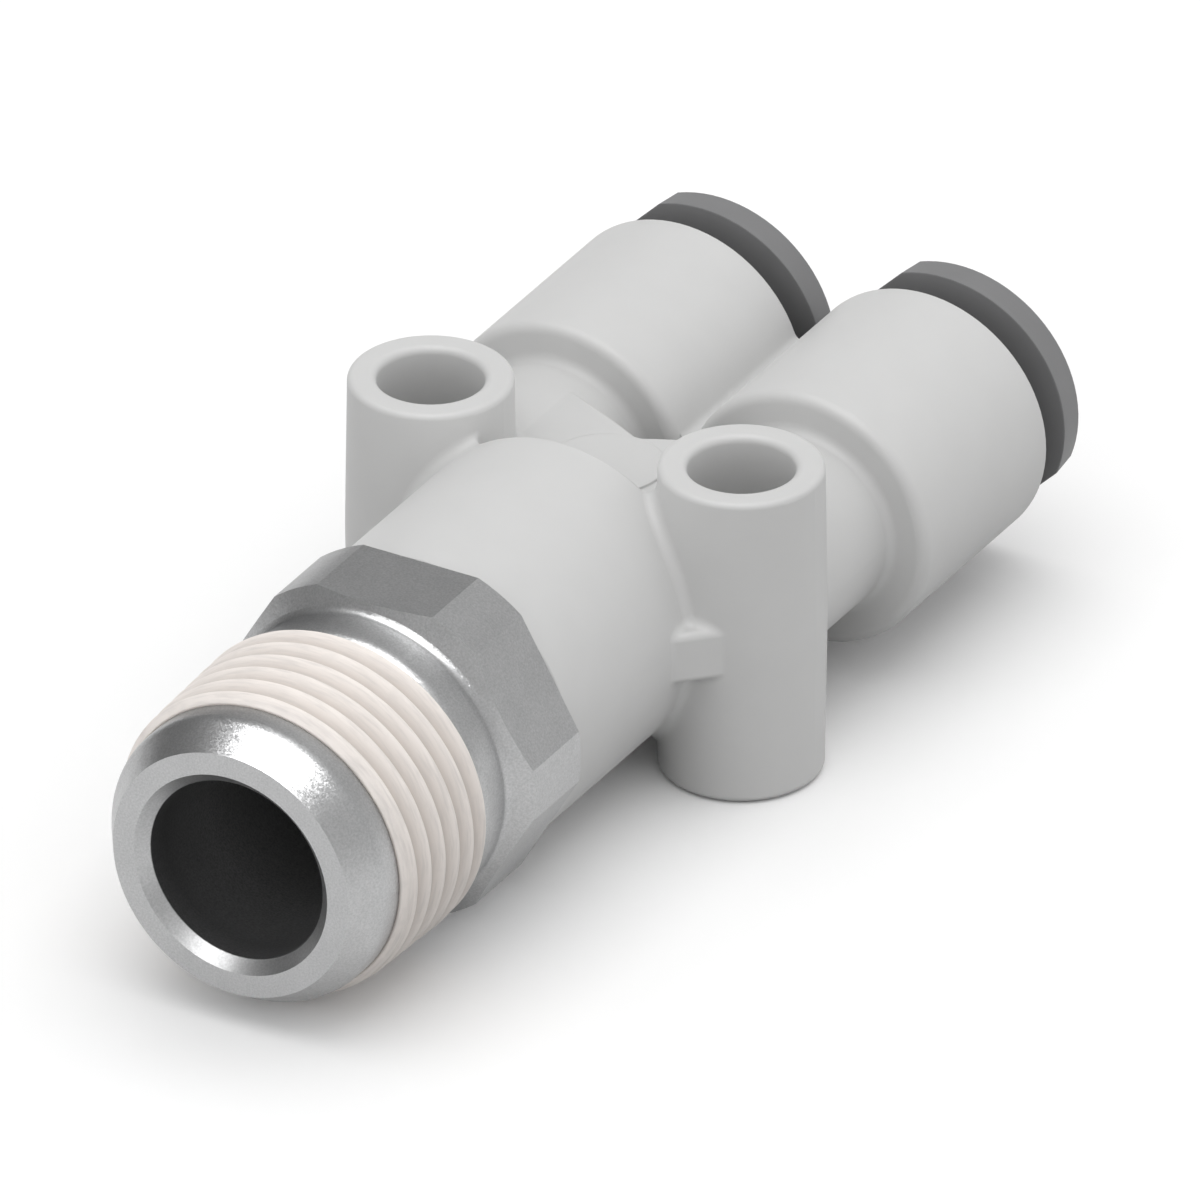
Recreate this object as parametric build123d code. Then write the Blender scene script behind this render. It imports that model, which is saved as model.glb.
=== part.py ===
from build123d import *

import os
from math import cos, radians, sin, sqrt, tan

# Push-in Y fitting: a turned stud with a coated taper thread, a moulded Y body
# with two mounting bosses, and two tube ports with release buttons.
# Millimetres. The thread axis is the Y axis and the nose of the stud is at Y = 0.
# The ports look along +Y, and the mounting holes run along Z.

# Stud: the hexagon is as wide as the bosses are long, and the thread is cut on the nose side of it.
across_flats = 17.0
corner_over_flat = 0.61
hex_length = 4.85
hex_gap = 3.35
hex_chamfer_angle = 30.0
flat_over_crest = 0.18
thread_length = 7.33
taper_angle = 1.79
coat_thickness = 0.52
coat_edge = 0.12
land_length = 1.34
nose_length = 1.73
nose_rise = 1.11
nose_bend = 1.00
face_ring = 1.19
collar_rise = 0.12
collar_bend = 1.00
collar_fillet = 0.50
collar_run = 0.60
relief_depth = 0.60
relief_run = 0.15
stud_bore_chamfer = 0.62
stud_bore_end = 1.60
bore_step = 0.78
tail_wall = 2.12
tail_chamfer = 0.40
bead_height = 0.38
bead_width = 0.90
bead_setback = 1.50
ring_groove_depth = 1.22
ring_groove_width = 1.70
ring_groove_setback = 5.40

# Radii of the stud, from the hexagon inward.
hex_corner_r = across_flats / 2 + corner_over_flat
thread_crest_r = across_flats / 2 - flat_over_crest
nose_land_r = thread_crest_r - coat_thickness
nose_face_r = nose_land_r - nose_rise
collar_r = nose_land_r + collar_rise
relief_r = nose_land_r - relief_depth
stud_bore_r = nose_face_r - face_ring - stud_bore_chamfer
tail_bore_r = stud_bore_r - bore_step
tail_r = tail_bore_r + tail_wall
bead_r = tail_r + bead_height
ring_groove_r = tail_r - ring_groove_depth

# Stations of the stud, from the nose.
thread_front = nose_length + land_length
thread_back = thread_front + thread_length
relief_front = thread_back + relief_run
collar_front = relief_front + collar_run
hex_front = thread_back + hex_gap
hex_back = hex_front + hex_length
stud_bore_depth = hex_back - stud_bore_end

# Neck of the body, with the stud's tail in it.
neck_length = 13.94
neck_under_flat = 0.12
neck_edge = 0.25
tail_end_gap = 1.54
stud_gap = 0.15
socket_clearance = 0.08
socket_floor_gap = 0.25
neck_r = across_flats / 2 - neck_under_flat
neck_back = hex_back + neck_length
tail_end = neck_back - tail_end_gap
bead_front = tail_end - bead_setback
ring_groove_front = hex_back + ring_groove_setback

# Tube socket, from the tube outward.
tube_r = 4.00
fit_clearance = 0.03
axial_gap = 0.05
tube_clearance = 0.06
stop_width = 1.46
socket_length = 4.20
seal_lip = 0.12
seal_length = 3.20
collet_clearance = 0.30
collet_length = 1.55
claw_bite = 0.08
claw_drop = 0.85
claw_gap = 0.08
claw_slot = 0.55
claw_count = 10
chuck_sheet = 0.25
socket_r = tube_r + tube_clearance
arm_r = socket_r - stop_width
collet_bore_r = tube_r + collet_clearance
claw_tip_r = tube_r - claw_bite

# Release button, and the guide ring round it.
button_travel = 1.50
button_gap = 1.75
button_clearance = 0.10
stem_wall = 0.85
stem_clearance = 0.06
button_bead_height = 0.47
button_bead_width = 0.60
entry_chamfer = 0.60
claw_root_gap = 0.25
guide_recess_gap = 0.13
guide_end_gap = 0.15
guide_lip = 1.30
guide_wall = 0.40
button_bore_r = tube_r + button_clearance
stem_r = button_bore_r + stem_wall
button_bead_r = stem_r + button_bead_height
chuck_inner_r = stem_r + claw_root_gap
guide_recess_r = button_bead_r + guide_recess_gap
cage_r = guide_recess_r + guide_wall

# Outside of the ports, round those pieces.
chamber_step = 0.20
barrel_wall = 1.00
barrel_length = 12.25
half_barrel_gap = 0.02
port_neck_wall = 0.84
shoulder_round = 0.57
shoulder_fillet = 0.50
mouth_edge = 0.14
valley_r = 0.55
flange_inset = 0.01
flange_lean = 0.18
flat_depth = 0.62
flange_thickness = 1.72
flange_turn = 45.0
seal_chamber_r = cage_r - chamber_step
barrel_r = cage_r + barrel_wall
port_x = barrel_r + half_barrel_gap
port_neck_r = socket_r + port_neck_wall
flange_back_r = barrel_r - flange_inset
flange_front_r = flange_back_r - flange_lean
flange_flat = flange_back_r - flat_depth

# Bosses, web and gussets.
crease_fillet = 0.50
boss_spread = 0.50
boss_setback = 2.33
boss_mid_r = 4.28
boss_wall = 1.58
boss_draft = 0.12
boss_rim = 0.32
boss_hole_rim = 0.40
web_rise = 0.06
web_crown_r = 48.0
web_reach = 5.10
web_edge_angle = 28.0
web_rear_edge = 0.25
pad_setback = 2.03
pad_r = 2.95
pad_height = 0.03
gusset_reach = 5.90
gusset_half = 1.40
gusset_edge = 0.40
overlap = 0.60
boss_x = neck_r + boss_spread
boss_y = neck_back + boss_setback
boss_end_r = boss_mid_r - boss_draft
boss_hole_r = boss_mid_r - boss_wall
web_crown_z = port_neck_r + web_rise
web_tip_y = boss_y + web_reach
pad_y = boss_y + pad_setback
gusset_front = boss_y - gusset_reach

# Stations in the ports.
shoulder_setback = 9.58
seal_depth = 10.50
arm_start_gap = 0.33
arm_end_gap = 0.80
shoulder_y = boss_y + shoulder_setback
mouth_y = shoulder_y + barrel_length
seal_front = mouth_y - seal_depth
tube_stop_y = seal_front - socket_length
arm_start_y = boss_y + arm_start_gap
arm_end_y = tube_stop_y - arm_end_gap


def turned(points):
    """A solid of revolution about the Y axis, from (radius, y) points."""
    outline = Polyline(*points, close=True)
    return revolve(make_face(outline), axis=Axis.Y)


def turned_round(points, bends):
    """Like turned, with some corners of the outline rounded: {(radius, y): bend radius}."""
    face = make_face(Polyline(*points, close=True))
    for (r, y), bend in bends.items():
        corner = face.vertices().sort_by_distance((r, y, 0))[0]
        face = fillet(corner, bend)
    return revolve(face, axis=Axis.Y)


def bore(radius, y0, y1):
    """A plain cylinder along Y between two stations."""
    return turned([(0, y0), (radius, y0), (radius, y1), (0, y1)])


def at_port(side, shape):
    """Moves a shape made on the Y axis to the left (-1) or right (+1) port."""
    return Pos(side * port_x, 0, 0) * shape


def prism_along_y(sketch, y0, y1):
    """Extrudes a sketch drawn in X and Z from y0 to y1."""
    placed = Plane((0, y0, 0), x_dir=(1, 0, 0), z_dir=(0, -1, 0)) * sketch
    return extrude(placed, amount=y1 - y0, dir=(0, 1, 0))


def stud_blank():
    """The turned outline of the stud, nose to tail, before the hexagon is cut."""
    core_back_r = nose_land_r + thread_length * tan(radians(taper_angle))
    slope = tan(radians(hex_chamfer_angle))
    chamfer_front = hex_front - (across_flats / 2 - collar_r) * slope
    corner_y = hex_front + (hex_corner_r - across_flats / 2) * slope
    outline = [
        (0, 0),
        (nose_face_r, 0),
        (nose_land_r, nose_length),
        (nose_land_r, thread_front),
        (core_back_r, thread_back),
        (relief_r, relief_front),
        (collar_r, collar_front),
        (collar_r, chamfer_front),
        (hex_corner_r, corner_y),
        (hex_corner_r, hex_back),
        (tail_r, hex_back),
        (tail_r, bead_front),
        (bead_r, bead_front),
        (tail_r, bead_front + bead_width),
        (tail_r, tail_end - tail_chamfer),
        (tail_r - tail_chamfer, tail_end),
        (0, tail_end),
    ]
    bends = {
        (nose_land_r, nose_length): nose_bend,
        (collar_r, collar_front): collar_bend,
        (collar_r, chamfer_front): collar_fillet,
    }
    return turned_round(outline, bends)


def hexagon_envelope():
    """A long prism that trims only the wrench part of the stud to a hexagon."""
    flats = RegularPolygon(across_flats / 2, 6, major_radius=False)
    return prism_along_y(flats, -1, hex_back)


def make_stud():
    blank = stud_blank()
    wrench = blank & hexagon_envelope()
    tail = blank & bore(hex_corner_r, hex_back, tail_end)
    stud = wrench + tail
    through = turned([
        (0, 0),
        (stud_bore_r + stud_bore_chamfer, 0),
        (stud_bore_r, stud_bore_chamfer),
        (stud_bore_r, stud_bore_depth),
        (tail_bore_r, stud_bore_depth + stud_bore_r - tail_bore_r),
        (tail_bore_r, tail_end),
        (0, tail_end),
    ])
    groove = bore(tail_r + 1, ring_groove_front, ring_groove_front + ring_groove_width)
    groove -= bore(ring_groove_r, ring_groove_front, ring_groove_front + ring_groove_width)
    return stud - through - groove


def make_thread_sealant():
    """The coat on the taper thread, as a tapered sleeve that touches all the crests."""
    rise = thread_length * tan(radians(taper_angle))
    core_r = nose_land_r + fit_clearance
    front_r = nose_land_r + coat_edge
    lead_in = thread_crest_r - front_r
    return turned([
        (core_r, thread_front),
        (front_r, thread_front),
        (thread_crest_r, thread_front + lead_in),
        (thread_crest_r + rise, thread_back),
        (core_r + rise, thread_back),
    ])


def make_stud_ring():
    socket = tail_r + socket_clearance
    cord_r = (socket - ring_groove_r) / 2 - fit_clearance
    y = ring_groove_front + ring_groove_width / 2
    cord = Pos((socket + ring_groove_r) / 2, y, 0) * Circle(cord_r)
    return revolve(cord, axis=Axis.Y)


def boss(side):
    """A vertical mounting boss, drafted from the parting plane to both ends."""
    half = across_flats / 2
    outline = Polyline(
        (0, -half), (boss_end_r, -half), (boss_mid_r, 0), (boss_end_r, half), (0, half), close=True)
    face = Plane.XZ * make_face(outline)
    solid = revolve(face, axis=Axis.Z)
    rims = solid.edges().filter_by(GeomType.CIRCLE).group_by(Axis.Z)
    solid = fillet(rims[0] + rims[-1], boss_rim)
    return Pos(side * boss_x, boss_y, 0) * solid


def boss_hole(side):
    """The mounting hole, with a rounded rim at both ends."""
    half = across_flats / 2
    wall = boss_hole_r
    rim = boss_hole_rim
    lower = ThreePointArc(
        (wall + rim, -half),
        (wall + rim * (1 - sin(radians(45))), -half + rim * (1 - cos(radians(45)))),
        (wall, -half + rim))
    side_line = Line((wall, -half + rim), (wall, half - rim))
    upper = ThreePointArc(
        (wall, half - rim),
        (wall + rim * (1 - sin(radians(45))), half - rim * (1 - cos(radians(45)))),
        (wall + rim, half))
    ends = Polyline((wall + rim, half), (0, half), (0, -half), (wall + rim, -half))
    face = Plane.XZ * make_face([lower, side_line, upper, ends])
    return Pos(side * boss_x, boss_y, 0) * revolve(face, axis=Axis.Z)


def central_web():
    """The crowned web between neck, bosses and ports, with a V at its rear."""
    side_z = web_crown_z - web_crown_r + sqrt(web_crown_r ** 2 - port_x ** 2)
    top = ThreePointArc((-port_x, side_z), (0, web_crown_z), (port_x, side_z))
    right = Line((port_x, side_z), (port_x, -side_z))
    bottom = ThreePointArc((port_x, -side_z), (0, -web_crown_z), (-port_x, -side_z))
    left = Line((-port_x, -side_z), (-port_x, side_z))
    rear = web_tip_y + port_x * tan(radians(web_edge_angle))
    slab = prism_along_y(make_face([top, right, bottom, left]), neck_back - overlap, rear)
    notch = make_face(Polyline((0, web_tip_y), (port_x, rear), (-port_x, rear), close=True))
    tip = notch.vertices().sort_by(Axis.Y)[0]
    notch = fillet(tip, crease_fillet)
    slab -= extrude(notch, amount=web_crown_z, both=True)
    wall = [e for e in slab.edges() if e.center().Y > web_tip_y and abs(e.center().Z) > side_z]
    return fillet(wall, web_rear_edge)


def raised_pads():
    """The round pads on both sides of the web. They are bare."""
    height = web_crown_z + pad_height
    return Pos(0, pad_y, 0) * extrude(Plane.XY * Circle(pad_r), amount=height, both=True)


def gusset(side):
    """A small gusset in the mid plane that runs at 45 degrees from the neck into a boss."""
    inner = neck_r - overlap
    front = gusset_front - overlap
    reach = boss_x + boss_mid_r / 2 - inner
    plan = Polyline((inner, front), (inner + reach, front + reach), (inner, boss_y), close=True)
    block = extrude(make_face(plan), amount=gusset_half, both=True)
    slanted = [e for e in block.edges() if abs(e.length - reach * sqrt(2)) < 0.001]
    block = fillet(slanted, gusset_edge)
    return block if side > 0 else mirror(block, about=Plane.YZ)


def port_outside():
    """The outside of one port on the Y axis: slim neck, shoulder and barrel."""
    outline = [
        (0, boss_y),
        (port_neck_r, boss_y),
        (port_neck_r, shoulder_y),
        (barrel_r, shoulder_y),
        (barrel_r, mouth_y - mouth_edge),
        (barrel_r - mouth_edge, mouth_y),
        (0, mouth_y),
    ]
    bends = {
        (port_neck_r, shoulder_y): shoulder_fillet,
        (barrel_r, shoulder_y): shoulder_round,
    }
    return turned_round(outline, bends)


def barrel_valley():
    """The filler between the two barrels, with a small concave radius on each side."""
    centre_z = sqrt((barrel_r + valley_r) ** 2 - port_x ** 2)
    share = barrel_r / (barrel_r + valley_r)
    width = 2 * port_x * (1 - share)
    section = Rectangle(width + valley_r, 2 * centre_z * share)
    section -= Pos(0, centre_z) * Circle(valley_r)
    section -= Pos(0, -centre_z) * Circle(valley_r)
    return prism_along_y(section, shoulder_y + shoulder_round, mouth_y - mouth_edge)


def stud_socket():
    """The bore that takes the stud's tail, with the groove its bead snaps into."""
    front = hex_back + stud_gap
    radius = tail_r + socket_clearance
    groove_r = bead_r + socket_clearance
    floor = tail_end + socket_floor_gap
    return turned([
        (0, front - 1),
        (radius + 0.4, front - 1),
        (radius + 0.4, front),
        (radius, front + 0.4),
        (radius, bead_front - socket_clearance),
        (groove_r, bead_front - socket_clearance),
        (groove_r, bead_front + socket_clearance),
        (radius, bead_front + bead_width + socket_clearance),
        (radius, floor),
        (tail_bore_r, floor),
        (tail_bore_r, arm_start_y),
        (0, arm_start_y + tail_bore_r * 0.6),
    ])


def arm_passage(side):
    """The slanting flow passage from the centre to one tube socket."""
    start = Vector(0, arm_start_y, 0)
    end = Vector(side * port_x, arm_end_y, 0)
    run = end - start
    arm = extrude(Plane(start, z_dir=run) * Circle(arm_r), amount=run.length)
    corner = Pos(end.X, end.Y, 0) * Sphere(arm_r)
    return arm + corner + at_port(side, bore(arm_r, arm_end_y, tube_stop_y))


def port_cavity():
    """The stepped bore of one port: tube stop, seal chamber and cage."""
    return turned([
        (0, tube_stop_y - 0.1),
        (arm_r, tube_stop_y - 0.1),
        (arm_r, tube_stop_y),
        (socket_r, tube_stop_y),
        (socket_r, seal_front),
        (seal_chamber_r, seal_front),
        (seal_chamber_r, seal_front + seal_length),
        (cage_r, seal_front + seal_length),
        (cage_r, mouth_y - 0.25),
        (cage_r + 0.25, mouth_y),
        (cage_r + 0.25, mouth_y + 1),
        (0, mouth_y + 1),
    ])


def neck_outside():
    """The round neck, with a small chamfer at the stud and a rounded rear edge."""
    front = hex_back + stud_gap
    outline = [
        (0, front),
        (neck_r - neck_edge / 2, front),
        (neck_r, front + neck_edge / 2),
        (neck_r, neck_back),
        (0, neck_back),
    ]
    return turned_round(outline, {(neck_r, neck_back): neck_edge})


def body_outside():
    """All that the mould shapes from outside, with the creases between the forms rounded."""
    forms = [neck_outside(), central_web()]
    for side in (-1, 1):
        forms += [at_port(side, port_outside()), boss(side), gusset(side)]
    joined = forms[0] + forms[1:]
    creases = new_edges(*forms, combined=joined)
    return fillet(creases, crease_fillet) + barrel_valley() + raised_pads()


def make_body():
    body = body_outside() - stud_socket()
    for side in (-1, 1):
        body -= boss_hole(side)
        body -= arm_passage(side)
        body -= at_port(side, port_cavity())
    return body


def make_tube_seal():
    """A lip seal: two lips lean on the tube, with a groove between them."""
    front = seal_front + axial_gap
    back = seal_front + seal_length - axial_gap
    outer = seal_chamber_r - fit_clearance
    lip = tube_r - seal_lip
    middle = (front + back) / 2
    return turned([
        (lip + 0.45, front),
        (outer, front),
        (outer, back),
        (lip + 0.45, back),
        (lip, back - 0.8),
        (lip + 0.5, middle),
        (lip, front + 0.8),
    ])


def cage_front():
    return seal_front + seal_length + axial_gap


def chuck_front():
    return cage_front() + collet_length + axial_gap


def make_collet():
    """The seat ring behind the claws, coned so that the claws can bend into it."""
    front = cage_front()
    back = front + collet_length
    outer = cage_r - fit_clearance
    return turned([
        (collet_bore_r, front),
        (outer, front),
        (outer, back),
        (chuck_inner_r, back),
        (collet_bore_r, back - claw_drop - 0.25),
    ])


def make_chuck():
    """A spring steel ring with claws that lean in and grip the tube."""
    front = chuck_front()
    back = front + chuck_sheet
    outer = cage_r - fit_clearance
    ring = turned([
        (claw_tip_r, front - claw_drop),
        (chuck_inner_r, front),
        (outer, front),
        (outer, back),
        (chuck_inner_r - 0.1, back),
        (claw_tip_r, back - claw_drop),
    ])
    slot = Pos(chuck_inner_r, front, 0) * Box(
        chuck_inner_r, 3 * claw_drop, claw_slot, align=(Align.MAX, Align.CENTER, Align.CENTER))
    for index in range(claw_count):
        ring -= Rot(0, index * 360 / claw_count, 0) * slot
    return ring


def claw_back_y(radius):
    """Where the back of a claw lies at a radius: the button's nose follows this cone."""
    share = (radius - claw_tip_r) / (chuck_inner_r - 0.1 - claw_tip_r)
    return chuck_front() + chuck_sheet - claw_drop * (1 - share)


def guide_front():
    return chuck_front() + chuck_sheet + axial_gap


def bead_top():
    """The outer face of the button's bead when the button is out."""
    return mouth_y - guide_end_gap - guide_lip - axial_gap


def make_guide():
    """The ring pressed in the mouth: it holds the chuck and keeps the button in."""
    front = guide_front()
    back = mouth_y - guide_end_gap
    outer = cage_r - fit_clearance
    slide_r = stem_r + stem_clearance
    recess_front = bead_top() - button_bead_width - button_travel - axial_gap
    recess_back = back - guide_lip
    return turned([
        (chuck_inner_r + 0.1, front),
        (outer, front),
        (outer, back),
        (slide_r + 0.15, back),
        (slide_r, back - 0.15),
        (slide_r, recess_back),
        (guide_recess_r, recess_back),
        (guide_recess_r, recess_front),
        (chuck_inner_r + 0.1, recess_front),
    ])


def make_release_button():
    """Stem, snap bead and flange; the flange has two flats, so it is easy to find."""
    flange_back = mouth_y + button_gap
    face = flange_back + flange_thickness
    reach = button_travel + claw_gap
    sharp = turned([
        (button_bore_r, claw_back_y(button_bore_r) + reach),
        (stem_r, claw_back_y(stem_r) + reach),
        (stem_r, bead_top() - button_bead_width),
        (button_bead_r, bead_top() - button_bead_width / 2),
        (button_bead_r, bead_top()),
        (stem_r, bead_top()),
        (stem_r, flange_back),
        (flange_back_r, flange_back),
        (flange_front_r, face),
        (button_bore_r + entry_chamfer, face),
        (button_bore_r, face - entry_chamfer),
    ])
    lean = flange_back_r - flange_front_r
    section = [
        (-flange_flat, flange_back - 0.01),
        (-flange_back_r - 1, flange_back - 0.01),
        (-flange_back_r - 1, face + 0.01),
        (-flange_flat + lean, face + 0.01),
    ]
    wedge = extrude(make_face(Polyline(*section, close=True)), amount=flange_back_r, both=True)
    cutter = wedge + mirror(wedge, about=Plane.YZ)
    return sharp - Rot(0, flange_turn, 0) * cutter


def port_pieces():
    return {
        "tube_seal": make_tube_seal(),
        "collet": make_collet(),
        "chuck": make_chuck(),
        "guide_ring": make_guide(),
        "release_button": make_release_button(),
    }


def make_all():
    nodes = {
        "body": make_body(),
        "stud": make_stud(),
        "thread_sealant": make_thread_sealant(),
        "stud_o_ring": make_stud_ring(),
    }
    for name, piece in port_pieces().items():
        nodes[name + "_left"] = at_port(-1, piece)
        nodes[name + "_right"] = at_port(1, piece)
    return nodes


os.makedirs("parts", exist_ok=True)
for name, solid in make_all().items():
    solid.label = name
    export_step(solid, "parts/" + name + ".step")
    print(name, round(solid.volume, 2), len(solid.solids()))
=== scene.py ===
import math

import bpy
from mathutils import Matrix, Vector, noise


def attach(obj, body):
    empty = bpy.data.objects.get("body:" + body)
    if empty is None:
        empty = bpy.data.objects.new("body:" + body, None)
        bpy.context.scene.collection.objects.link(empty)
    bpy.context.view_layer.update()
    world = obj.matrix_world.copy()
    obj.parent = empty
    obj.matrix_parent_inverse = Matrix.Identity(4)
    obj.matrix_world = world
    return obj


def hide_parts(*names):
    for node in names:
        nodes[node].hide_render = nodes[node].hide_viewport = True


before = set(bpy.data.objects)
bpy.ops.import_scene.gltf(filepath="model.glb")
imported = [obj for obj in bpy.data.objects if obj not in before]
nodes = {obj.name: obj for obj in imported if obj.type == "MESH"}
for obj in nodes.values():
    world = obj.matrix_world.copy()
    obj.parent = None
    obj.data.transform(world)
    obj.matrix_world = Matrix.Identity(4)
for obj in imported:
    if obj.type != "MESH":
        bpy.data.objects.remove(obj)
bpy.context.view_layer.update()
mm = 0.001  # Blender works in metres, and the sizes below are in millimetres
scene = bpy.context.scene
print("frame loaded:", len(nodes), "nodes")


# helpers for node trees

def wire(tree, node, inputs):
    for key, value in inputs.items():
        if isinstance(value, bpy.types.NodeSocket):
            tree.links.new(value, node.inputs[key])
        else:
            node.inputs[key].default_value = value
    return node


def add(tree, kind, inputs=None, **settings):
    node = tree.nodes.new("ShaderNode" + kind)
    for key, value in settings.items():
        setattr(node, key, value)
    return wire(tree, node, inputs or {})


def calc(tree, operation, *values):
    return add(tree, "Math", dict(enumerate(values)), operation=operation).outputs[0]


def spread(tree, value, low, high, toLow=0.0, toHigh=1.0):
    return add(tree, "MapRange", {0: value, 1: low, 2: high, 3: toLow, 4: toHigh}).outputs[0]


def blend(tree, share, first, second):
    node = add(tree, "Mix", data_type="RGBA")
    return wire(tree, node, {0: share, 6: first, 7: second}).outputs[2]


def newGroup(name, inputs, outputs):
    tree = bpy.data.node_groups.new(name, "ShaderNodeTree")
    for label, value in inputs.items():
        tree.interface.new_socket(label, in_out="INPUT", socket_type="NodeSocketFloat").default_value = value
    for label, kind in outputs.items():
        tree.interface.new_socket(label, in_out="OUTPUT", socket_type="NodeSocket" + kind)
    return tree, tree.nodes.new("NodeGroupInput").outputs, tree.nodes.new("NodeGroupOutput")


def useGroup(tree, group, **inputs):
    return wire(tree, add(tree, "Group", node_tree=group), inputs).outputs


def newMaterial(name):
    material = bpy.data.materials.new(name)
    material.use_nodes = True
    tree = material.node_tree
    return material, tree, next(n for n in tree.nodes if n.type == "BSDF_PRINCIPLED")


def dress(material, *names):
    for name in names:
        for holder in nodes[name].material_slots:
            holder.material = material


# effects that several finishes share

effectShape = {"mottleRatio": 14.0, "wearFrom": 0.995, "wearTo": 0.90, "wearPatches": 900.0}


def makeFineGrain():
    # Size in millimetres. Grain is the fine texture, Mottle the broad unevenness of the same surface.
    tree, given, result = newGroup("fineGrain", {"Size": 0.15}, {"Grain": "Float", "Mottle": "Float"})
    place = add(tree, "TexCoord").outputs["Object"]
    scale = calc(tree, "DIVIDE", 1 / mm, given["Size"])
    grain = add(tree, "TexNoise", {"Vector": place, "Scale": scale, "Detail": 2.0, "Roughness": 0.6})
    broad = calc(tree, "DIVIDE", scale, effectShape["mottleRatio"])
    mottle = add(tree, "TexNoise", {"Vector": place, "Scale": broad, "Detail": 3.0, "Roughness": 0.5})
    wire(tree, result, {"Grain": grain.outputs[0], "Mottle": mottle.outputs[0]})
    return tree


def makeEdgeWear():
    # Radius in millimetres. Edge is white where a corner is rubbed, Normal rounds the corner a little.
    tree, given, result = newGroup("edgeWear", {"Radius": 0.1, "Breakup": 0.4},
                                   {"Edge": "Float", "Normal": "Vector"})
    radius = calc(tree, "MULTIPLY", given["Radius"], mm)
    rounded = add(tree, "Bevel", {"Radius": radius}, samples=6).outputs[0]
    flat = add(tree, "NewGeometry").outputs["Normal"]
    same = add(tree, "VectorMath", {0: rounded, 1: flat}, operation="DOT_PRODUCT").outputs["Value"]
    mask = spread(tree, same, effectShape["wearFrom"], effectShape["wearTo"])
    place = add(tree, "TexCoord").outputs["Object"]
    patches = {"Vector": place, "Scale": effectShape["wearPatches"], "Detail": 4.0}
    patchy = add(tree, "TexNoise", patches).outputs[0]
    kept = spread(tree, patchy, 0.35, 0.65, calc(tree, "SUBTRACT", 1.0, given["Breakup"]), 1.0)
    wire(tree, result, {"Edge": calc(tree, "MULTIPLY", mask, kept), "Normal": rounded})
    return tree


def makeHandling():
    # Smears and finger marks as a change of roughness between Low and High.
    tree, given, result = newGroup("handling", {"Size": 6.0, "Low": 0.4, "High": 0.5},
                                   {"Roughness": "Float"})
    place = add(tree, "TexCoord").outputs["Object"]
    scale = calc(tree, "DIVIDE", 1 / mm, given["Size"])
    smear = add(tree, "TexNoise", {"Vector": place, "Scale": scale, "Detail": 5.0, "Distortion": 0.8})
    marked = spread(tree, smear.outputs[0], 0.3, 0.7, given["Low"], given["High"])
    wire(tree, result, {"Roughness": marked})
    return tree


fineGrain = makeFineGrain()
edgeWear = makeEdgeWear()
handling = makeHandling()
print("shared effects made")


# moulded resin: housing, guide rings, collets and release buttons

housingFinish = {
    "tone": (0.617, 0.617, 0.613, 1), "deepTone": (0.607, 0.607, 0.603, 1),
    "edgeTone": (0.65, 0.65, 0.645, 1), "edgeShare": 0.3, "edgeRadius": 0.12, "smooth": 0.46,
    "rough": 0.52, "grainSize": 0.14, "grainDepth": 0.0022, "specular": 0.42}
guideFinish = {
    "tone": (0.55, 0.55, 0.54, 1), "deepTone": (0.5, 0.5, 0.49, 1), "edgeTone": (0.62, 0.62, 0.6, 1),
    "edgeShare": 0.3, "edgeRadius": 0.06, "smooth": 0.4, "rough": 0.5, "grainSize": 0.12,
    "grainDepth": 0.002, "specular": 0.45}
colletFinish = {
    "tone": (0.34, 0.34, 0.33, 1), "deepTone": (0.29, 0.29, 0.28, 1), "edgeTone": (0.42, 0.42, 0.4, 1),
    "edgeShare": 0.3, "edgeRadius": 0.06, "smooth": 0.4, "rough": 0.52, "grainSize": 0.12,
    "grainDepth": 0.002, "specular": 0.45}
buttonFinish = {
    "tone": (0.205, 0.205, 0.208, 1), "deepTone": (0.197, 0.197, 0.2, 1), "edgeTone": (0.26, 0.26, 0.263, 1),
    "edgeShare": 0.4, "edgeRadius": 0.12, "smooth": 0.44, "rough": 0.52, "grainSize": 0.13,
    "grainDepth": 0.0025, "specular": 0.4}


resinTexture = {"breakup": 0.5, "markSize": 7.0, "flowShare": 0.75, "speckShare": 0.25}


def mouldedResin(name, look):
    material, tree, shader = newMaterial(name)
    texture = useGroup(tree, fineGrain, Size=look["grainSize"])
    corner = useGroup(tree, edgeWear, Radius=look["edgeRadius"], Breakup=resinTexture["breakup"])
    marks = useGroup(tree, handling, Size=resinTexture["markSize"], Low=look["smooth"], High=look["rough"])
    flow = spread(tree, texture["Mottle"], 0.35, 0.65)
    speck = spread(tree, texture["Grain"], 0.25, 0.75, 0.0, resinTexture["speckShare"])
    depth = calc(tree, "MULTIPLY_ADD", flow, resinTexture["flowShare"], speck)
    body = blend(tree, depth, look["tone"], look["deepTone"])
    colour = blend(tree, calc(tree, "MULTIPLY", corner["Edge"], look["edgeShare"]), body, look["edgeTone"])
    height = calc(tree, "MULTIPLY", texture["Grain"], look["grainDepth"])
    bump = add(tree, "Bump", {"Height": height, "Distance": mm, "Normal": corner["Normal"]})
    wire(tree, shader, {"Base Color": colour, "Roughness": marks["Roughness"], "Normal": bump.outputs[0],
                        "Specular IOR Level": look["specular"]})
    return material


dress(mouldedResin("whiteHousingResin", housingFinish), "body")
dress(mouldedResin("whiteGuideResin", guideFinish), "guide_ring_left", "guide_ring_right")
dress(mouldedResin("greyColletResin", colletFinish), "collet_left", "collet_right")
dress(mouldedResin("greyButtonResin", buttonFinish), "release_button_left", "release_button_right")
print("resin finishes made")


# plated stud: fine grain all over, a sparkle on the nose, the cone and the band, and painted shade in the
# bore: a dull dark non-metal lining, darkest at the mouth and lighter deeper in

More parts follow.
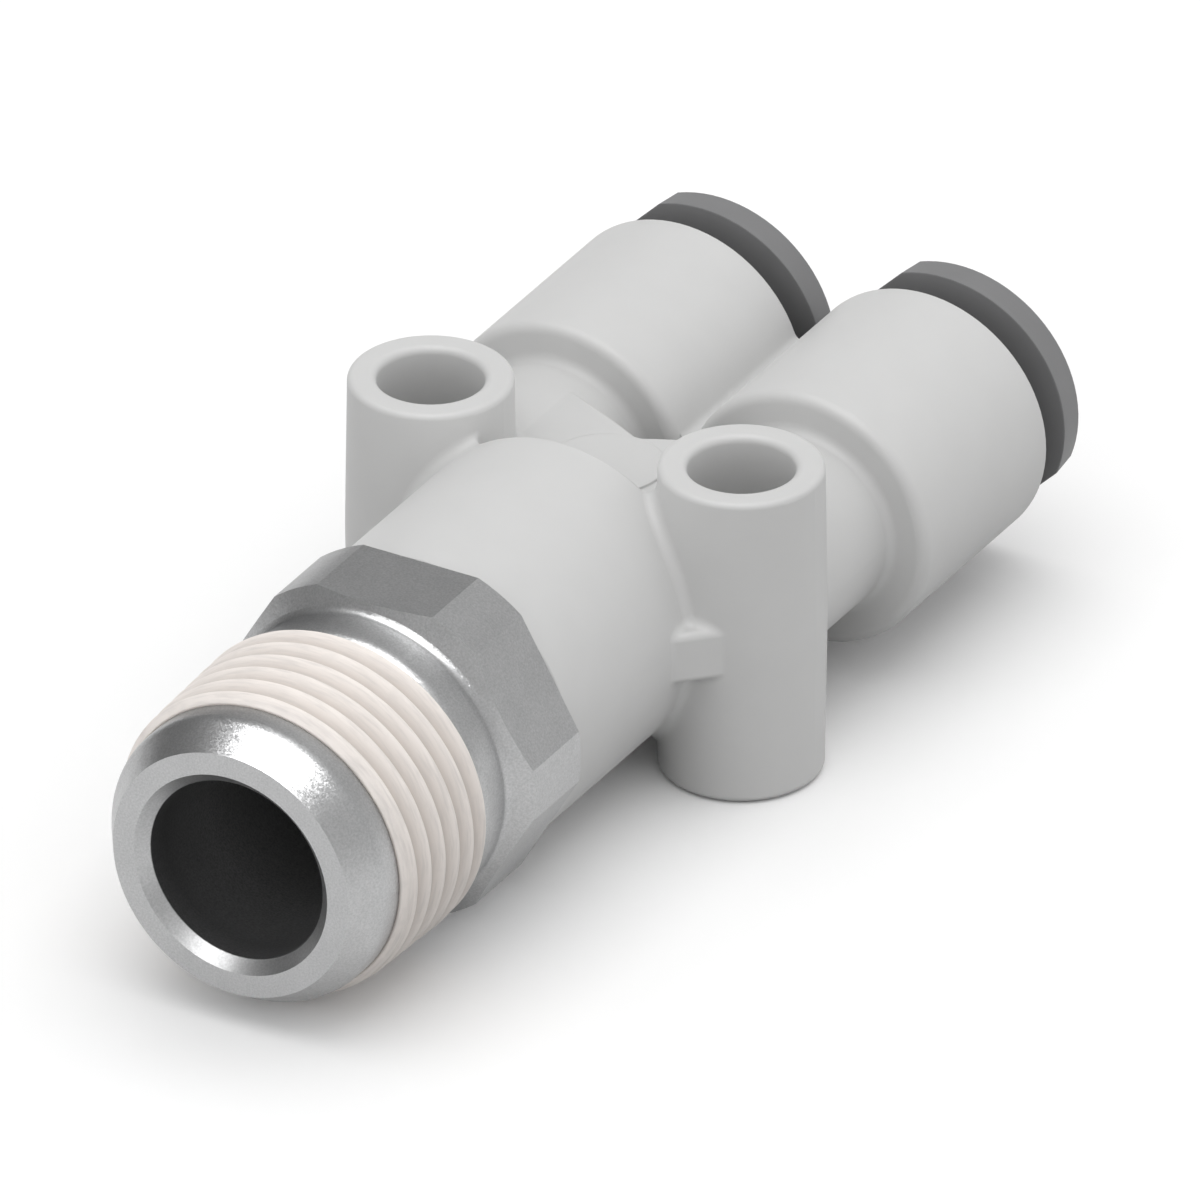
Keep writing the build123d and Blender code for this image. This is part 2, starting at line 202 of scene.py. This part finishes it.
studFinish = {
    "plate": (0.535, 0.537, 0.54, 1), "dull": (0.395, 0.397, 0.4, 1), "rubbed": (0.56, 0.56, 0.56, 1),
    # the bore tones below are painted shade: a dark dull lining, darkest at the mouth and lighter deeper in
    "boreShadeAtMouth": (0.055, 0.055, 0.056, 1), "boreShadeDeep": (0.18, 0.18, 0.182, 1), "boreGrit": 0.45,
    "boreRadius": 4.94, "boreStart": 0.6, "boreDark": 2.0, "boreLight": 6.0,
    "boreRough": 0.3, "edgeSoft": 0.02,
    "noseStart": 0.03, "noseEnd": 3.2, "noseFaceRadius": 6.72, "noseReach": 9.0,
    "bandStart": 10.4, "bandEnd": 13.0, "bandSoft": 0.1,
    "coneStart": 13.36, "coneRadius": 7.92, "coneSlope": 0.577, "coneRim": 0.12, "coneReach": 9.2,
    "coneBefore": 0.4, "coneAfter": 0.06, "edgeRadius": 0.06, "breakup": 0.3, "markSize": 4.0,
    "speckShare": 0.8, "unevenShare": 0.2, "rubShare": 0.2,
    "facetSize": 0.07, "sparkleTilt": 0.13, "flatTilt": 0.03, "grainSize": 0.11, "grainDepth": 0.0016,
    "lineDepth": 0.0008, "lineScale": 14000.0, "smooth": 0.33, "rough": 0.37}


def between(tree, value, low, high, soft):
    rise = spread(tree, value, low - soft, low + soft)
    fall = spread(tree, value, high - soft, high + soft, 1.0, 0.0)
    return calc(tree, "MULTIPLY", rise, fall)


def studZones(tree, look, radius, along):
    # where the stud is blasted to a sparkle, and where its bore begins; the bore mask marks where painted
    # shade is laid
    soft = look["edgeSoft"]
    nose = calc(tree, "MULTIPLY", between(tree, along, look["noseStart"], look["noseEnd"], soft),
                between(tree, radius, look["noseFaceRadius"], look["noseReach"], soft))
    band = between(tree, along, look["bandStart"], look["bandEnd"], look["bandSoft"])
    fromCone = calc(tree, "SUBTRACT", radius, look["coneRadius"])
    coneLine = calc(tree, "MULTIPLY_ADD", fromCone, look["coneSlope"], look["coneStart"])
    pastLine = calc(tree, "SUBTRACT", along, coneLine)
    cone = calc(tree, "MULTIPLY", between(tree, pastLine, -look["coneBefore"], look["coneAfter"], soft),
                between(tree, radius, look["coneRadius"] + look["coneRim"], look["coneReach"], soft))
    sparkle = calc(tree, "MAXIMUM", calc(tree, "MAXIMUM", nose, band), cone)
    inBore = spread(tree, radius, look["boreRadius"] - soft, look["boreRadius"] + soft, 1.0, 0.0)
    pastMouth = spread(tree, along, look["boreStart"] - soft, look["boreStart"] + soft)
    return sparkle, calc(tree, "MULTIPLY", inBore, pastMouth)


def platedStud(look):
    material, tree, shader = newMaterial("nickelPlatedStud")
    whole = add(tree, "TexCoord").outputs["Object"]
    place = add(tree, "SeparateXYZ", {0: whole}).outputs
    across = add(tree, "CombineXYZ", {"X": place["X"], "Y": place["Z"]}).outputs[0]
    length = add(tree, "VectorMath", {0: across}, operation="LENGTH").outputs["Value"]
    along = calc(tree, "DIVIDE", place["Y"], mm)
    sparkle, boreShadeMask = studZones(tree, look, calc(tree, "DIVIDE", length, mm), along)
    texture = useGroup(tree, fineGrain, Size=look["grainSize"])
    corner = useGroup(tree, edgeWear, Radius=look["edgeRadius"], Breakup=look["breakup"])
    marks = useGroup(tree, handling, Size=look["markSize"], Low=look["smooth"], High=look["rough"])
    rings = add(tree, "CombineXYZ", {"X": length, "Y": place["Y"]}).outputs[0]
    lines = add(tree, "TexNoise", {"Vector": rings, "Scale": look["lineScale"], "Detail": 1.0},
                noise_dimensions="2D").outputs[0]
    grained = calc(tree, "MULTIPLY", texture["Grain"], look["grainDepth"])
    height = calc(tree, "MULTIPLY_ADD", lines, look["lineDepth"], grained)
    turned = add(tree, "Bump", {"Height": height, "Distance": mm}).outputs[0]
    fineness = 1 / (look["facetSize"] * mm)
    facets = add(tree, "TexVoronoi", {"Vector": whole, "Scale": fineness}).outputs["Color"]
    lean = add(tree, "VectorMath", {0: facets, 1: (0.5, 0.5, 0.5)}, operation="SUBTRACT").outputs[0]
    amount = spread(tree, sparkle, 0.0, 1.0, look["flatTilt"], look["sparkleTilt"])
    tilt = add(tree, "VectorMath", {0: lean, "Scale": amount}, operation="SCALE").outputs[0]
    tilted = add(tree, "VectorMath", {0: turned, 1: tilt}, operation="ADD").outputs[0]
    normal = add(tree, "VectorMath", {0: tilted}, operation="NORMALIZE").outputs[0]
    speck = spread(tree, texture["Grain"], 0.3, 0.7)
    uneven = spread(tree, texture["Mottle"], 0.3, 0.7, 0.0, look["unevenShare"])
    dulled = calc(tree, "MULTIPLY_ADD", speck, look["speckShare"], uneven)
    plate = blend(tree, dulled, look["plate"], look["dull"])
    worn = blend(tree, calc(tree, "MULTIPLY", corner["Edge"], look["rubShare"]), plate, look["rubbed"])
    # painted shade in the bore: dark at the mouth, lighter deeper in, on a dull non-metal lining
    depth = spread(tree, along, look["boreDark"], look["boreLight"])
    paintedBoreShade = blend(tree, depth, look["boreShadeAtMouth"], look["boreShadeDeep"])
    paintedBoreShade = blend(tree, calc(tree, "MULTIPLY", speck, look["boreGrit"]), paintedBoreShade, (0, 0, 0, 1))
    colour = blend(tree, boreShadeMask, worn, paintedBoreShade)
    rough = calc(tree, "MULTIPLY_ADD", boreShadeMask, look["boreRough"], marks["Roughness"])
    plated = calc(tree, "SUBTRACT", 1.0, boreShadeMask)
    wire(tree, shader, {"Base Color": colour, "Metallic": plated, "Roughness": rough, "Normal": normal})
    return material


dress(platedStud(studFinish), "stud")
print("stud finish made")


# spring steel claws and black rubber seals, which show through the open ports

clawFinish = {
    "bright": (0.56, 0.56, 0.55, 1), "worn": (0.4, 0.4, 0.4, 1), "rubbed": (0.75, 0.75, 0.75, 1),
    "smooth": 0.22, "rough": 0.36, "grainSize": 0.06, "grainDepth": 0.001, "edgeRadius": 0.03,
    "breakup": 0.3, "markSize": 2.0, "rubShare": 0.5}
rubberFinish = {
    "tone": (0.02, 0.02, 0.021, 1), "bloom": (0.045, 0.045, 0.046, 1), "smooth": 0.42, "rough": 0.6,
    "grainSize": 0.1, "grainDepth": 0.004, "markSize": 1.5}


def springSteel(look):
    material, tree, shader = newMaterial("stainlessSpringStrip")
    texture = useGroup(tree, fineGrain, Size=look["grainSize"])
    corner = useGroup(tree, edgeWear, Radius=look["edgeRadius"], Breakup=look["breakup"])
    marks = useGroup(tree, handling, Size=look["markSize"], Low=look["smooth"], High=look["rough"])
    strip = blend(tree, spread(tree, texture["Mottle"], 0.35, 0.65), look["bright"], look["worn"])
    colour = blend(tree, calc(tree, "MULTIPLY", corner["Edge"], look["rubShare"]), strip, look["rubbed"])
    height = calc(tree, "MULTIPLY", texture["Grain"], look["grainDepth"])
    bump = add(tree, "Bump", {"Height": height, "Distance": mm, "Normal": corner["Normal"]}).outputs[0]
    wire(tree, shader, {"Base Color": colour, "Metallic": 1.0, "Roughness": marks["Roughness"],
                        "Normal": bump})
    return material


def sealRubber(look):
    material, tree, shader = newMaterial("blackSealRubber")
    texture = useGroup(tree, fineGrain, Size=look["grainSize"])
    marks = useGroup(tree, handling, Size=look["markSize"], Low=look["smooth"], High=look["rough"])
    colour = blend(tree, spread(tree, texture["Mottle"], 0.4, 0.7), look["tone"], look["bloom"])
    height = calc(tree, "MULTIPLY", texture["Grain"], look["grainDepth"])
    bump = add(tree, "Bump", {"Height": height, "Distance": mm})
    wire(tree, shader, {"Base Color": colour, "Roughness": marks["Roughness"], "Normal": bump.outputs[0]})
    return material


dress(springSteel(clawFinish), "chuck_left", "chuck_right")
dress(sealRubber(rubberFinish), "tube_seal_left", "tube_seal_right", "stud_o_ring")
print("steel and rubber finishes made")


# coated taper thread: a right-hand helix, steep behind each crest and rising slowly to the next

threadCoat = {
    "front": 3.07, "back": 10.40, "pitch": 1.30, "crestAt": 3.93, "crestRadius": 8.31, "crestRadiusAt": 3.10,
    "taper": 1 / 32, "frontRadius": 7.92, "coreRadius": 7.79, "grooveDepth": 0.46, "steepShare": 0.26,
    "riseBend": 1.25, "startsAt": 3.2, "fullAt": 3.8, "coneJoin": 0.08, "backRound": 0.14,
    "brushMarks": 0.010, "brushTurn": 4, "brushAlong": 2.2,
    "streakTurn": 9, "streakAlong": 14, "streakPart": 0.35, "columns": 288, "rows": 230}


def coatPoint(coat, along, turn):
    # radius of the coat at a station and a share of a turn, and how far it stands out of the groove, which
    # sets the painted light on the crests and the painted shade in the hollows
    crest = coat["crestRadius"] + (along - coat["crestRadiusAt"]) * coat["taper"]
    phase = (along - coat["crestAt"]) / coat["pitch"] + turn
    behind = phase - math.floor(phase)
    steep = coat["steepShare"]
    if behind < steep:
        share = behind / steep
        sunk = share * share * (3 - 2 * share)
    else:
        sunk = (1 - (behind - steep) / (1 - steep)) ** coat["riseBend"]
    begun = min(max((along - coat["startsAt"]) / (coat["fullAt"] - coat["startsAt"]), 0), 1)
    begun = begun * begun * (3 - 2 * begun)
    radius = crest - coat["grooveDepth"] * sunk * begun
    cone = coat["frontRadius"] + along - coat["front"]
    join = coat["coneJoin"]
    share = min(max(0.5 + 0.5 * (radius - cone) / join, 0), 1)
    radius = radius * (1 - share) + cone * share - join * share * (1 - share)
    past = along - (coat["back"] - coat["backRound"])
    if past > 0:
        radius -= coat["backRound"] - math.sqrt(max(coat["backRound"] ** 2 - past ** 2, 0))
    angle = turn * math.tau
    broad, fine = coat["brushTurn"], coat["streakTurn"]
    spot = Vector((math.cos(angle) * broad, along * coat["brushAlong"], math.sin(angle) * broad))
    streak = Vector((math.cos(angle) * fine, along * coat["streakAlong"], math.sin(angle) * fine))
    radius += (noise.noise(spot) + coat["streakPart"] * noise.noise(streak)) * coat["brushMarks"]
    return radius, 1 - sunk * begun


def makeThreadCoat(coat):
    columns, rows = coat["columns"], coat["rows"]
    points, faces, crestLightShares = [], [], []
    for row in range(rows + 1):
        along = coat["front"] + (coat["back"] - coat["front"]) * row / rows
        for column in range(columns):
            angle = column / columns * math.tau
            radius, crestLightShare = coatPoint(coat, along, column / columns)
            points.append(Vector((math.cos(angle) * radius, along, math.sin(angle) * radius)) * mm)
            crestLightShares.append(crestLightShare)
    inner = len(points)
    for along in (coat["front"], coat["back"]):
        core = coat["coreRadius"] + (along - coat["front"]) * coat["taper"]
        for column in range(columns):
            angle = column / columns * math.tau
            points.append(Vector((math.cos(angle) * core, along, math.sin(angle) * core)) * mm)
            crestLightShares.append(0.0)
    last = rows * columns
    for column in range(columns):
        after = (column + 1) % columns
        for row in range(rows):
            start = row * columns
            faces.append((start + column, start + columns + column, start + columns + after, start + after))
        faces.append((inner + column, column, after, inner + after))
        faces.append((last + column, inner + columns + column, inner + columns + after, last + after))
        faces.append((inner + after, inner + columns + after, inner + columns + column, inner + column))
    mesh = bpy.data.meshes.new("coatedThread")
    mesh.from_pydata(points, [], faces)
    # the crest share paints light on each crest and shade in the hollow behind it
    mesh.attributes.new("crest", "FLOAT", "POINT").data.foreach_set("value", crestLightShares)
    mesh.polygons.foreach_set("use_smooth", [True] * len(faces))
    mesh.update()
    piece = bpy.data.objects.new("coatedThread", mesh)
    scene.collection.objects.link(piece)
    return piece


coatFinish = {
    # the crest and groove tones are painted light on the crests and painted shade in the hollows; thin is
    # the coat's own thin spots and streaks
    "crest": (0.88, 0.825, 0.785, 1), "groove": (0.56, 0.505, 0.465, 1), "thin": (0.56, 0.53, 0.51, 1),
    "streakAlong": 0.1, "streakScale": 6000.0, "streakShare": 0.4,
    "smooth": 0.46, "rough": 0.62, "grainSize": 0.09, "grainDepth": 0.005, "markSize": 1.6,
    "spotShare": 0.35, "specular": 0.35}


def sealantCoat(look):
    material, tree, shader = newMaterial("bakedSealantCoat")
    texture = useGroup(tree, fineGrain, Size=look["grainSize"])
    marks = useGroup(tree, handling, Size=look["markSize"], Low=look["smooth"], High=look["rough"])
    # painted shade darkens the hollow behind each crest and painted light brightens each crest, by the crest
    # share
    crest = add(tree, "Attribute", attribute_name="crest").outputs["Fac"]
    coat = blend(tree, crest, look["groove"], look["crest"])
    place = add(tree, "SeparateXYZ", {0: add(tree, "TexCoord").outputs["Object"]}).outputs
    sideways = calc(tree, "MULTIPLY", place["X"], look["streakAlong"])
    upward = calc(tree, "MULTIPLY", place["Z"], look["streakAlong"])
    around = add(tree, "CombineXYZ", {"X": sideways, "Y": place["Y"], "Z": upward}).outputs[0]
    fineness = look["streakScale"]
    streak = add(tree, "TexNoise", {"Vector": around, "Scale": fineness, "Detail": 3.0}).outputs[0]
    thinSpots = spread(tree, texture["Mottle"], 0.55, 0.8, 0.0, look["spotShare"])
    thinLines = spread(tree, streak, 0.45, 0.7, 0.0, look["streakShare"])
    colour = blend(tree, calc(tree, "MAXIMUM", thinSpots, thinLines), coat, look["thin"])
    height = calc(tree, "MULTIPLY", texture["Grain"], look["grainDepth"])
    bump = add(tree, "Bump", {"Height": height, "Distance": mm})
    wire(tree, shader, {"Base Color": colour, "Roughness": marks["Roughness"], "Normal": bump.outputs[0],
                        "Specular IOR Level": look["specular"]})
    return material


coatedThread = makeThreadCoat(threadCoat)
coatedThread.data.materials.append(sealantCoat(coatFinish))
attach(coatedThread, "stud")
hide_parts("thread_sealant")
print("coated thread made:", len(coatedThread.data.polygons), "faces")


# pale floor, soft overhead light and the photograph's viewpoint

studio = {
    "floorLevel": -8.57, "floorSide": 6000, "floorRough": 0.9,
    "floorTone": 1.0, "bounceTone": 0.3, "mirrorTone": 0.95,
    "lampHeight": 2.0, "lampSide": 2.3, "lampPower": 20.4,
    "skyBase": 1.221, "skyRight": 0.076, "skyNear": 0.059, "skyTop": -0.73,
    "mirrorLeft": 0.18, "mirrorRight": 0.65, "mirrorFrom": -0.9, "mirrorTo": 0.05,
    "glintToward": (0.0, -0.22, 0.975), "glintEdge": 0.875, "glintCore": 0.91, "glint": 4.4,
    "seenBackdrop": 1.0}
viewpoint = {"azimuth": 30.0, "elevation": 30.0, "right": 18.130, "up": 13.531, "depth": -22.5,
             "distance": 2475.04, "lens": 1500.0, "sensor": 36.0, "clipStart": 0.5, "clipEnd": 12.0}


def makeFloor(look):
    half = look["floorSide"] / 2 * mm
    level = look["floorLevel"] * mm
    mesh = bpy.data.meshes.new("paleFloor")
    corners = [(-half, -half, level), (half, -half, level), (half, half, level), (-half, half, level)]
    mesh.from_pydata(corners, [], [(0, 1, 2, 3)])
    floor = bpy.data.objects.new("paleFloor", mesh)
    scene.collection.objects.link(floor)
    material, tree, shader = newMaterial("paleFloorPaint")
    seen = add(tree, "LightPath").outputs
    tone = spread(tree, seen["Is Camera Ray"], 0.0, 1.0, look["bounceTone"], look["floorTone"])
    tone = spread(tree, seen["Is Glossy Ray"], 0.0, 1.0, tone, look["mirrorTone"])
    colour = add(tree, "CombineColor", {0: tone, 1: tone, 2: tone}).outputs[0]
    wire(tree, shader, {"Base Color": colour, "Roughness": look["floorRough"], "Specular IOR Level": 0.0})
    mesh.materials.append(material)


def makeLamp(look):
    lamp = bpy.data.lights.new("overheadSoftbox", "AREA")
    lamp.shape = "SQUARE"
    lamp.size = look["lampSide"]
    lamp.energy = look["lampPower"]
    holder = bpy.data.objects.new("overheadSoftbox", lamp)
    holder.location = (0, 0, look["lampHeight"])
    holder.visible_glossy = False
    scene.collection.objects.link(holder)


def makeRoom(look):
    world = bpy.data.worlds.new("softRoom")
    world.use_nodes = True
    world.cycles.sampling_method = "NONE"
    scene.world = world
    tree = world.node_tree
    backdrop = next(n for n in tree.nodes if n.type == "BACKGROUND")
    direction = add(tree, "TexCoord").outputs["Generated"]
    toward = add(tree, "SeparateXYZ", {0: direction}).outputs
    soft = calc(tree, "MULTIPLY_ADD", toward["X"], look["skyRight"], look["skyBase"])
    soft = calc(tree, "MULTIPLY_ADD", toward["Y"], -look["skyNear"], soft)
    soft = calc(tree, "MULTIPLY_ADD", calc(tree, "MAXIMUM", toward["Z"], 0.0), look["skyTop"], soft)
    toGlint = add(tree, "VectorMath", {0: direction, 1: look["glintToward"]}, operation="DOT_PRODUCT")
    near = toGlint.outputs["Value"]
    glint = spread(tree, near, look["glintEdge"], look["glintCore"], 0.0, look["glint"])
    fromLeft, toRight = look["mirrorFrom"], look["mirrorTo"]
    wall = spread(tree, toward["X"], fromLeft, toRight, look["mirrorLeft"], look["mirrorRight"])
    mirrored = calc(tree, "ADD", wall, glint)
    seen = add(tree, "LightPath").outputs
    strength = calc(tree, "MULTIPLY", seen["Is Diffuse Ray"], soft)
    strength = calc(tree, "MULTIPLY_ADD", seen["Is Glossy Ray"], mirrored, strength)
    strength = calc(tree, "MULTIPLY_ADD", seen["Is Camera Ray"], look["seenBackdrop"], strength)
    wire(tree, backdrop, {"Color": (1, 1, 1, 1), "Strength": strength})


def makeCamera(look):
    turn, rise = math.radians(look["azimuth"]), math.radians(look["elevation"])
    back = Vector((math.sin(turn) * math.cos(rise), -math.cos(turn) * math.cos(rise), math.sin(rise)))
    right = Vector((math.cos(turn), math.sin(turn), 0))
    up = back.cross(right)
    aim = right * look["right"] + up * look["up"] + back * look["depth"]
    data = bpy.data.cameras.new("photoCamera")
    data.lens = look["lens"]
    data.sensor_width = look["sensor"]
    data.clip_start, data.clip_end = look["clipStart"], look["clipEnd"]
    camera = bpy.data.objects.new("photoCamera", data)
    pose = Matrix((right, up, back)).transposed().to_4x4()
    pose.translation = (aim + back * look["distance"]) * mm
    camera.matrix_world = pose
    scene.collection.objects.link(camera)
    scene.camera = camera


makeFloor(studio)
makeLamp(studio)
makeRoom(studio)
makeCamera(viewpoint)
scene.view_settings.view_transform = "Standard"
print("stage, light and camera made")
